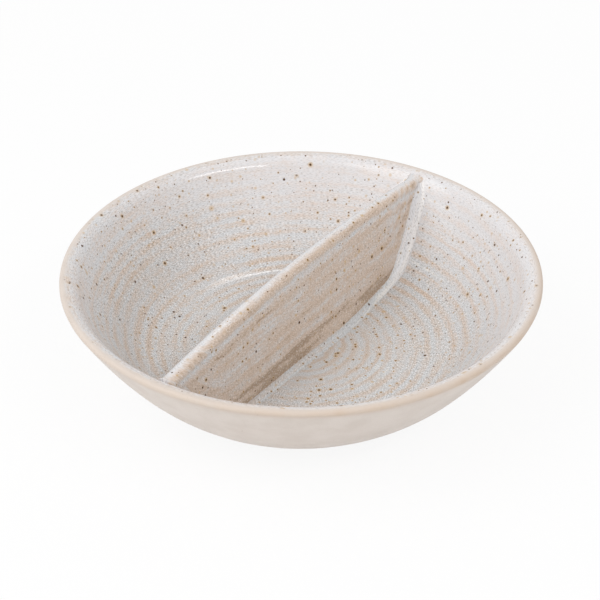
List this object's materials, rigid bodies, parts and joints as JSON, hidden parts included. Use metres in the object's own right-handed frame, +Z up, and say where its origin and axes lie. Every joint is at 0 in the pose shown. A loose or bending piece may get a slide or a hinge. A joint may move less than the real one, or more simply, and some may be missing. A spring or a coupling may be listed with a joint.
{
  "type": "divided serving bowl",
  "caption": "Round stoneware serving bowl on a low foot ring, split into half-moon compartments by a tapered dividing wall.",
  "frame": {"origin": "middle of the foot ring's underside, on the surface that the bowl stands on", "axes": "+Z up through the middle of the bowl; the dividing wall runs along Y, and its two compartments lie towards -X (left) and +X (right)"},
  "size_m": [0.18, 0.18, 0.0478],
  "materials": {
    "clay": "bare fired speckled stoneware, matt and slightly sandy",
    "liner_glaze": "glossy pale grey-white glaze, tan where it thins over the ridges, with iron specks",
    "pooled_glaze": "glossy pale bluish glaze pooled over the pressed seam bead",
    "outer_glaze": "satin warm beige glaze with faint specks"
  },
  "bodies": {
    "root": {"bowl_body": "clay", "foot_ring": "clay", "divider_wall": "clay", "seam_bead_left": "pooled_glaze", "seam_bead_right": "pooled_glaze", "liner_glaze_left": "liner_glaze", "liner_glaze_right": "liner_glaze", "divider_glaze": "liner_glaze", "outer_glaze": "outer_glaze", "foot_well_glaze": "outer_glaze"}
  },
  "joints": []
}
